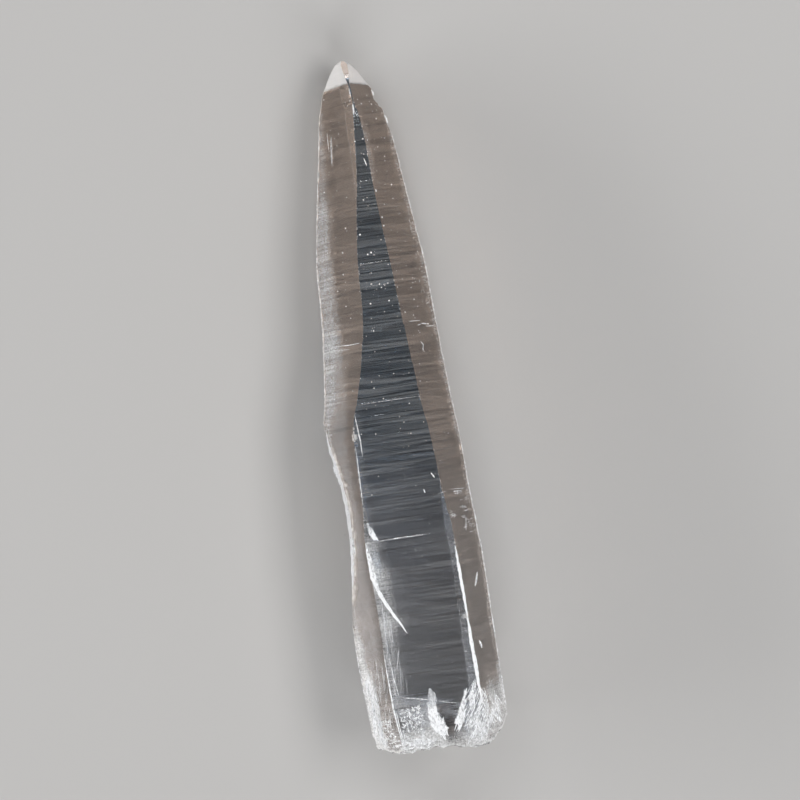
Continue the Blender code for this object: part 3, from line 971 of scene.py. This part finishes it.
def floor_paper(settings):
    """Matt studio paper with a faint tooth."""
    r = Recipe(bpy.data.materials.new("studio_paper"))
    place = r.coordinates()
    colour = r.mix(r.noise(place, 240.0, 1.0), settings.floor_colour,
                   dimmed(settings.floor_colour, 0.965))
    surface = r.node("ShaderNodeBsdfPrincipled", None, {
        "Base Color": colour, "Roughness": 0.85, "Specular IOR Level": 0.2,
        "Normal": r.bump(r.noise(place, 0.8, 4.0), 0.05, 0.2)})
    return r.finish("ShaderNodeOutputMaterial", Surface=surface)


# ---------------------------------------------------------------- inner pieces

def bodies(paths, sides, ups, widths, depths, ring, ripple=0.0, seed=0):
    """Slender closed bodies, one for each path of points.

    A body's cross section is an ellipse: each point is the path's point plus side * width * cos
    plus up * depth * sin of the angle round it. Both ends close in one point. ripple bends the
    body up and down by a smooth random field. All arrays start with one row for each body. A
    body's up is turned round where needed, so that side, up and the path are right-handed and
    its faces point outwards.
    """
    count, steps = paths.shape[:2]
    hand = np.sign((np.cross(sides, ups) * (paths[:, -1] - paths[:, 0])).sum(axis=1))
    ups = (ups * hand[:, None])[:, None, None, :]
    angle = np.linspace(0, 2 * math.pi, ring, endpoint=False)
    flat = sides[:, None, None, :] * (widths[:, 1:-1, None] * np.cos(angle))[..., None]
    thick = ups * (depths[:, 1:-1, None] * np.sin(angle))[..., None]
    rings = paths[:, 1:-1, None, :] + flat + thick
    if ripple:
        swell = ripple * waves(rings[..., 0], rings[..., 1], seed, SHELL_WAVE)
        rings = rings + ups * swell[..., None]
    points = np.concatenate([rings.reshape(count, -1, 3), paths[:, :1], paths[:, -1:]], axis=1)
    each = points.shape[1]
    blocks = (grid_quads(steps - 2, ring), fan(0, ring, each - 2, True),
              fan((steps - 3) * ring, ring, each - 1, False))
    shift = np.arange(count)[:, None, None] * each
    faces = [(block + shift).reshape(-1, block.shape[1]) for block in blocks]
    return points.reshape(-1, 3), faces, each


def upright(count):
    """Straight up, once for each body."""
    return np.tile([0, 0, 1.0], (count, 1))


def taper(steps, start=0.5, end=0.5):
    """A width that swells from 0 to 1 and back along a path: powers of the share from each end."""
    t = np.linspace(0, 1, steps)
    return np.minimum(1, (t / 0.35) ** start) * np.minimum(1, ((1 - t) / 0.35) ** end)


def along_skin(track, steps, lift):
    """A path that follows the upper skin: points across and along, straight between the given
    ones, each raised above the skin by lift."""
    t = np.linspace(0, 1, steps)
    reach = np.concatenate([[0], np.cumsum(np.hypot(*np.diff(track, axis=0).T))])
    across = np.interp(t * reach[-1], reach, track[:, 0])
    along = np.interp(t * reach[-1], reach, track[:, 1])
    return np.stack([across, along, top_height(across, along) + lift], axis=1)


def side_of(path):
    """Level direction square to a path's general heading."""
    heading = path[-1, :2] - path[0, :2]
    heading = heading / max(np.hypot(*heading), 1e-6)
    return np.array([heading[1], -heading[0], 0.0])


def skin_lines():
    """Points, faces and cover of the fine white lines on the upper skin, with the painted glints
    near the point.
    """
    paths = np.stack([along_skin(np.reshape(line[2:], (-1, 2)), LINE_STEPS, LINE_LIFT)
                      for line in LINES])
    sides = np.stack([side_of(path) for path in paths])
    half = np.array([line[0] / 2 for line in LINES])[:, None]
    rng = np.random.default_rng(LINE_SEED)
    wobble = rng.normal(0, 1, (len(LINES), LINE_STEPS, 1))
    paths = paths + sides[:, None, :] * wobble * half[..., None] * 0.08
    widths = half * taper(LINE_STEPS) * rng.uniform(0.8, 1.15, (len(LINES), LINE_STEPS))
    points, faces, each = bodies(paths, sides, upright(len(LINES)), widths,
                                 np.full(widths.shape, LINE_THICKNESS), THIN_RING)
    return points, faces, np.repeat([line[1] for line in LINES], each)


def edge_highlight(edge, low, high, width, cover, seed):
    """A painted highlight: a thin white body along one of the long edges, standing a little proud
    of it, wider and narrower by turns."""
    rng = np.random.default_rng(seed)
    steps = int((high - low) / EDGE_PITCH)
    along = np.linspace(low, high, steps)
    across, height = corner(distances(along), edge)
    out = outward(edge)
    side = np.array([out[1], 0.0, -out[0]])
    up = np.array([out[0], 0.0, out[1]])
    path = np.stack([across, along, height], axis=1) + up * EDGE_LIFT
    beads = 0.65 + 0.5 * waves(along, 0, seed, 3.0) + 0.3 * rng.normal(0, 1, steps)
    half = 0.5 * width * np.clip(beads, 0.15, 1.3) * taper(steps, 0.2, 0.2)
    points, faces, _ = bodies(path[None], side[None], up[None], half[None], half[None] * 0.6,
                              THIN_RING)
    fade = np.clip(0.75 + 0.5 * waves(along, 0, seed + 1, 9.0), 0.1, 1)
    return points, faces, cover * np.append(np.repeat(fade[1:-1], THIN_RING), (0.5, 0.5))


def scattered(count, seed, low, high):
    """Random places on the upper skin, seen from above: across and along."""
    rng = np.random.default_rng(seed)
    along = rng.uniform(low, high, count)
    left, right = edges_across(along)
    return left + (right - left) * rng.uniform(0.04, 0.96, count), along


def specks():
    """Points, faces and cover of the specks and the bright pits on the upper skin: each is a
    tiny flat lens, turned its own way. The specks grow brighter towards the point."""
    across, along = scattered(*SPECKS)
    rng = np.random.default_rng(SPECK_SEED)
    sizes = rng.uniform(*SPECK_SIZE, len(across))
    cover = 0.2 + 0.8 * rng.random(len(across)) ** 2.5
    cover = cover * (0.3 + 0.7 * ease(along, *SPECKS_BRIGHTEN))
    pits = np.array(PITS)
    across, along = np.append(across, pits[:, 0]), np.append(along, pits[:, 1])
    sizes = np.append(sizes, rng.uniform(*PIT_SIZE, len(pits)))[:, None]
    cover = np.append(cover, np.ones(len(pits)))

    count = len(across)
    heading = np.random.default_rng(count).uniform(0, math.pi, count)
    run = np.stack([np.cos(heading), np.sin(heading), np.zeros(count)], axis=1)
    sides = np.stack([-np.sin(heading), np.cos(heading), np.zeros(count)], axis=1)
    centre = np.stack([across, along, top_height(across, along) + SPECK_LIFT], axis=1)
    reach = np.linspace(-1, 1, SPECK_STEPS)
    paths = centre[:, None, :] + run[:, None, :] * (0.5 * sizes * reach)[..., None]
    widths = 0.42 * sizes * np.sqrt(1 - reach ** 2)
    points, faces, each = bodies(paths, sides, upright(count), widths,
                                 np.full(widths.shape, SPECK_THICKNESS), THIN_RING)
    return points, faces, np.repeat(cover, each)


def hackles(count, seed, corners, heading, spread, length, width, deepest, strength):
    """Feathery splinters scattered over a four-cornered patch near the break.

    corners are across and along, as seen from above. Each splinter starts at a random mix of
    them, at a random depth under the skin, and runs with a random heading.
    """
    rng = np.random.default_rng(seed)
    u, v = rng.random((2, count, 1))
    a, b, c, d = np.reshape(corners, (4, 2))
    start = (a * (1 - u) + b * u) * (1 - v) + (d * (1 - u) + c * u) * v
    angle = np.radians(heading) + rng.normal(0, np.radians(spread), count)
    run = rng.uniform(0.4, 1.0, count) * length
    t = np.linspace(-0.5, 0.5, HACKLE_STEPS)
    across = start[:, :1] + np.sin(angle)[:, None] * t * run[:, None]
    along = start[:, 1:] + np.cos(angle)[:, None] * t * run[:, None]
    height = top_height(across, along) - rng.uniform(-0.03, deepest, (count, 1))
    paths = np.stack([across, along, height], axis=2)
    sides = np.stack([np.cos(angle), -np.sin(angle), rng.normal(0, 0.4, count)], axis=1)
    sides = sides / np.linalg.norm(sides, axis=1)[:, None]
    ups = np.cross(sides, np.stack([np.sin(angle), np.cos(angle), np.zeros(count)], axis=1))
    widths = rng.uniform(0.4, 1.0, (count, 1)) * width * taper(HACKLE_STEPS, 0.7, 0.5)
    left, right = edges_across(along)
    inside = ((along > break_along(across, height) + BREAK_MARGIN)
              & (across > left + EDGE_MARGIN) & (across < right - EDGE_MARGIN)).all(axis=1)
    points, faces, each = bodies(paths[inside], sides[inside], ups[inside], widths[inside],
                                 widths[inside] * 0.2, THIN_RING)
    return points, faces, np.repeat(strength * rng.uniform(0.5, 1.0, inside.sum()), each)


def shell_flake(seed, depth, bend, strength, half_widths, track):
    """A thin shell of broken quartz inside the crystal: a wide closed body along its track, with
    a ragged outline and a rippled face."""
    track = np.reshape(track, (-1, 3))
    knots = np.linspace(0, 1, len(track))
    t = np.linspace(0, 1, SHELL_STEPS)
    path = np.stack([through(t, knots, track[:, i]) for i in range(3)], axis=1)
    rng = np.random.default_rng(seed)
    ragged = 1 + 0.10 * np.interp(t, np.linspace(0, 1, 25), rng.normal(0, 1, 25))
    width = np.maximum(through(t, knots, np.array(half_widths)), 0.05) * ragged
    side = side_of(path) + np.array([0, 0, bend])
    side = side / np.linalg.norm(side)
    run = path[-1] - path[0]
    up = np.cross(run / np.linalg.norm(run), side)
    points, faces, _ = bodies(path[None], side[None], up[None], width[None],
                              np.full((1, SHELL_STEPS), depth), SHELL_RING, SHELL_RIPPLE, seed)
    rim = np.abs(np.cos(np.linspace(0, 2 * math.pi, SHELL_RING, endpoint=False))) ** 4
    growing = (0.35 + 0.65 * ease(t[1:-1], 0.15, 0.55))[:, None] * (1 - 0.75 * rim)
    return points, faces, strength * np.append(growing, (0.2, 0.4))


def joined(parts):
    """Points, faces and cover of several parts in one."""
    points, faces, cover, first = [], [], [], 0
    for part_points, part_faces, part_cover in parts:
        points.append(part_points)
        faces += [block + first for block in part_faces]
        cover.append(part_cover)
        first += len(part_points)
    return np.concatenate(points), faces, np.concatenate(cover)


def flaw_piece(context, name, parts):
    """Joins parts into one piece of white flaws; the white lines and edge lines among them include
    painted glints and painted highlights.
    """
    points, faces, cover = joined(parts)
    material = bpy.data.materials.get("white_flaw_and_glint") or white_flaw_and_glint(context.scene.quartz)
    return new_piece(name, points, faces, {"cover": cover}, material, FLAW_CREASE)


# ---------------------------------------------------------------- settings

class QuartzSettings(bpy.types.PropertyGroup):
    """Sizes and colours of the crystal."""

    row_pitch: bpy.props.FloatProperty(
        name="Row Pitch", description="Distance between the mesh rows along the crystal, in mm",
        default=0.124, min=0.1, max=2.0)
    clear_roughness: bpy.props.FloatProperty(
        name="Clear Roughness", description="Roughness of the clean faces", default=0.008,
        min=0.0, max=0.5)
    relief: bpy.props.FloatProperty(
        name="Relief", description="Depth of the finest striations, in mm", default=0.10, min=0.0,
        max=1.0)
    refraction: bpy.props.FloatProperty(
        name="Refraction", description="Index of refraction of quartz", default=1.544,
        min=1.0, max=2.0)
    frost_cover: bpy.props.FloatProperty(
        name="Frost Cover", description="How much the broken places hide the clear stone",
        default=0.9, min=0.0, max=1.0, subtype='FACTOR')
    frost_colour: bpy.props.FloatVectorProperty(
        name="Frost Colour", description="Colour of the broken places", subtype='COLOR',
        default=(0.93, 0.94, 0.95), min=0.0, max=1.0)
    # Painted reflection: the brown of the haze on the side faces stands in for warm light they
    # reflect
    painted_haze_colour: bpy.props.FloatVectorProperty(
        name="Haze Colour", description="Colour of the thin haze on the side faces",
        subtype='COLOR', default=(0.83, 0.67, 0.56), min=0.0, max=1.0)
    # Painted shade: the greyer tint of the lower side faces and of the point's narrow front face
    lower_painted_shade: bpy.props.FloatVectorProperty(
        name="Lower Tint", description="Colour that light takes on at the lower side faces",
        subtype='COLOR', default=(0.56, 0.53, 0.51), min=0.0, max=1.0)
    # Painted shade: the front face's dark blue darkens all that is seen through it
    front_painted_shade: bpy.props.FloatVectorProperty(
        name="Front Tint", description="Colour that light takes on at the front face",
        subtype='COLOR', default=(0.18, 0.34, 0.58), min=0.0, max=1.0)
    # Painted shade: the back face's darker tint
    back_painted_shade: bpy.props.FloatVectorProperty(
        name="Back Tint", description="Colour that light takes on at the back face",
        subtype='COLOR', default=(0.50, 0.46, 0.43), min=0.0, max=1.0)
    # Painted reflection: the brown of the side faces stands in for light from warm surroundings
    side_painted_reflection: bpy.props.FloatVectorProperty(
        name="Side Tint", description="Colour that light takes on at the side faces",
        subtype='COLOR', default=(0.86, 0.66, 0.52), min=0.0, max=1.0)
    flaw_colour: bpy.props.FloatVectorProperty(
        name="Flaw Colour", description="Colour of the inner cracks and flakes", subtype='COLOR',
        default=(0.97, 0.98, 1.0), min=0.0, max=1.0)
    tint: bpy.props.FloatVectorProperty(
        name="Tint", description="Colour that light takes on inside the stone", subtype='COLOR',
        default=(0.84, 0.80, 0.78), min=0.0, max=1.0)
    tint_density: bpy.props.FloatProperty(
        name="Tint Density", description="Strength of the tint, for each metre", default=18.0,
        min=0.0, max=500.0)


class StudioSettings(bpy.types.PropertyGroup):
    """Floor, lights and camera."""

    floor_colour: bpy.props.FloatVectorProperty(
        name="Floor Colour", description="Colour of the studio paper", subtype='COLOR',
        default=(0.50, 0.495, 0.49), min=0.0, max=1.0)
    floor_radius: bpy.props.FloatProperty(
        name="Floor Radius", description="Radius of the round floor", default=14.0, unit='LENGTH')
    floor_gap: bpy.props.FloatProperty(
        name="Floor Gap", description="Gap between the floor and the crystal's back face",
        default=0.0001, unit='LENGTH')
    horizon_light: bpy.props.FloatProperty(
        name="Horizon Light", description="Strength of the room's light near the horizon",
        default=1.1)
    zenith_light: bpy.props.FloatProperty(
        name="Zenith Light", description="Strength of the room's light from straight above",
        default=0.05)
    camera_distance: bpy.props.FloatProperty(
        name="Camera Distance", description="Distance of the camera from the crystal's middle",
        default=2.4, unit='LENGTH')
    picture_width: bpy.props.FloatProperty(
        name="Picture Width", description="Width of what the camera sees at the crystal's middle",
        default=0.1584, unit='LENGTH')
    lean: bpy.props.FloatProperty(
        name="Lean", description="How far the crystal leans to the left in the picture",
        default=math.radians(8.2), subtype='ANGLE')
    aim_across: bpy.props.FloatProperty(
        name="Aim Across", description="Where the camera aims, across the crystal",
        default=0.00176, unit='LENGTH')
    aim_along: bpy.props.FloatProperty(
        name="Aim Along", description="Where the camera aims, along the crystal",
        default=0.00075, unit='LENGTH')


# ---------------------------------------------------------------- operators

class QUARTZ_OT_crystal(bpy.types.Operator):
    """Builds the crystal's fine surface in place of the plain solid"""
    bl_idname = "quartz.crystal"
    bl_label = "Crystal"

    def execute(self, context):
        settings = context.scene.quartz
        points, faces, marks = crystal_mesh(settings.row_pitch)
        crystal = new_piece("crystal_skin", points, faces, marks, clear_quartz(settings),
                            SKIN_CREASE)
        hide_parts(NODE)
        return {'FINISHED'}


class QUARTZ_OT_flakes(bpy.types.Operator):
    """Adds the white shells that the break drove into the base"""
    bl_idname = "quartz.flakes"
    bl_label = "Base Flakes"

    def execute(self, context):
        flaw_piece(context, "base_flakes", [shell_flake(*flake) for flake in FLAKES])
        return {'FINISHED'}


class QUARTZ_OT_hackles(bpy.types.Operator):
    """Adds the feathery splinters over the break"""
    bl_idname = "quartz.hackles"
    bl_label = "Hackles"

    def execute(self, context):
        flaw_piece(context, "break_hackles", [hackles(*patch) for patch in HACKLES])
        return {'FINISHED'}


class QUARTZ_OT_lines(bpy.types.Operator):
    """Adds the fine white lines: bruised edges, growth steps and scratches, and the painted glints
    near the point
    """
    bl_idname = "quartz.lines"
    bl_label = "White Lines"

    def execute(self, context):
        flaw_piece(context, "white_lines_and_glints", [skin_lines()])
        return {'FINISHED'}


class QUARTZ_OT_edges(bpy.types.Operator):
    """Runs the painted highlights, thin bright lines, along the left and right edges"""
    bl_idname = "quartz.edges"
    bl_label = "Edge Lines"

    def execute(self, context):
        flaw_piece(context, "edge_highlights", [edge_highlight(*line) for line in EDGE_HIGHLIGHTS])
        return {'FINISHED'}


class QUARTZ_OT_specks(bpy.types.Operator):
    """Sprinkles the tiny bright pits over the upper faces"""
    bl_idname = "quartz.specks"
    bl_label = "Specks"

    def execute(self, context):
        flaw_piece(context, "pit_specks", [specks()])
        return {'FINISHED'}


class QUARTZ_OT_studio(bpy.types.Operator):
    """Lays the floor and sets the lights and the camera"""
    bl_idname = "quartz.studio"
    bl_label = "Studio"

    def execute(self, context):
        studio = context.scene.quartz_studio
        lay_floor(studio)
        light_room(studio)
        set_camera(studio)
        set_picture()
        return {'FINISHED'}


def lay_floor(studio):
    """A flat round sheet of studio paper just under the crystal."""
    angle = np.linspace(0, 2 * math.pi, FLOOR_CORNERS, endpoint=False)
    rim = studio.floor_radius * np.stack([np.cos(angle), np.sin(angle), angle * 0], axis=1)
    rim[:, 2] = -studio.floor_gap
    mesh = bpy.data.meshes.new("floor")
    mesh.from_pydata(rim.tolist(), [], [list(range(FLOOR_CORNERS))])
    mesh.materials.append(floor_paper(studio))
    floor = bpy.data.objects.new("floor", mesh)
    bpy.context.collection.objects.link(floor)


def soft_box(name, place, size, brightness, colour):
    """A rectangular soft light at place, facing the crystal; brightness is that of its face."""
    light = bpy.data.lights.new(name, 'AREA')
    light.shape = 'RECTANGLE'
    light.size, light.size_y = size
    light.energy = brightness * math.pi * size[0] * size[1]
    light.color = colour
    lamp = bpy.data.objects.new(name, light)
    bpy.context.collection.objects.link(lamp)
    lamp.location = place
    lamp.rotation_euler = Vector(place).to_track_quat('Z', 'Y').to_euler()


def light_room(studio):
    """A room that is bright near the horizon and dim above, with soft boxes round the crystal."""
    r = Recipe(bpy.data.worlds.new("room"))
    up = r.parts(r.node("ShaderNodeTexCoord", output="Generated"))[2]
    strength = up.between(HORIZON_TOP, ZENITH_FOOT, studio.horizon_light, studio.zenith_light)
    background = r.node("ShaderNodeBackground", None, {"Color": ROOM_COLOUR, "Strength": strength})
    bpy.context.scene.world = r.finish("ShaderNodeOutputWorld", Surface=background)
    for box in SOFT_BOXES:
        soft_box(*box)


def set_camera(studio):
    """Looks straight down, rolled so that the crystal leans to the left."""
    camera = bpy.data.cameras.new("camera")
    camera.sensor_width = SENSOR_WIDTH
    camera.lens = camera.sensor_width * studio.camera_distance / studio.picture_width
    camera.clip_start, camera.clip_end = CLIP_START, CLIP_END
    eye = bpy.data.objects.new("camera", camera)
    bpy.context.collection.objects.link(eye)
    eye.location = (studio.aim_across, studio.aim_along, CAD_HIGH.z / 2 + studio.camera_distance)
    eye.rotation_euler = (0.0, 0.0, -studio.lean)
    bpy.context.scene.camera = eye


def set_picture():
    """Lets light cross all the crystal's walls, and keeps the tones plain."""
    scene = bpy.context.scene
    scene.cycles.max_bounces = BOUNCES
    scene.cycles.transmission_bounces = BOUNCES
    scene.cycles.transparent_max_bounces = BOUNCES
    scene.view_settings.view_transform = 'Standard'


class QUARTZ_PT_panel(bpy.types.Panel):
    """Lists the steps that build the crystal"""
    bl_label = "Quartz Crystal"
    bl_idname = "QUARTZ_PT_panel"
    bl_space_type = 'VIEW_3D'
    bl_region_type = 'UI'
    bl_category = "Quartz"

    def draw(self, context):
        for step in STEPS:
            self.layout.operator(step.bl_idname)


STEPS = (QUARTZ_OT_crystal, QUARTZ_OT_flakes, QUARTZ_OT_hackles, QUARTZ_OT_lines,
         QUARTZ_OT_edges, QUARTZ_OT_specks, QUARTZ_OT_studio)
CLASSES = (QuartzSettings, StudioSettings, *STEPS, QUARTZ_PT_panel)


def register():
    for cls in CLASSES:
        bpy.utils.register_class(cls)
    bpy.types.Scene.quartz = bpy.props.PointerProperty(type=QuartzSettings)
    bpy.types.Scene.quartz_studio = bpy.props.PointerProperty(type=StudioSettings)


def unregister():
    del bpy.types.Scene.quartz_studio
    del bpy.types.Scene.quartz
    for cls in reversed(CLASSES):
        bpy.utils.unregister_class(cls)


def main():
    register()
    bpy.ops.quartz.crystal()
    bpy.ops.quartz.flakes()
    bpy.ops.quartz.hackles()
    bpy.ops.quartz.lines()
    bpy.ops.quartz.edges()
    bpy.ops.quartz.specks()
    bpy.ops.quartz.studio()


if __name__ == "__main__":
    main()
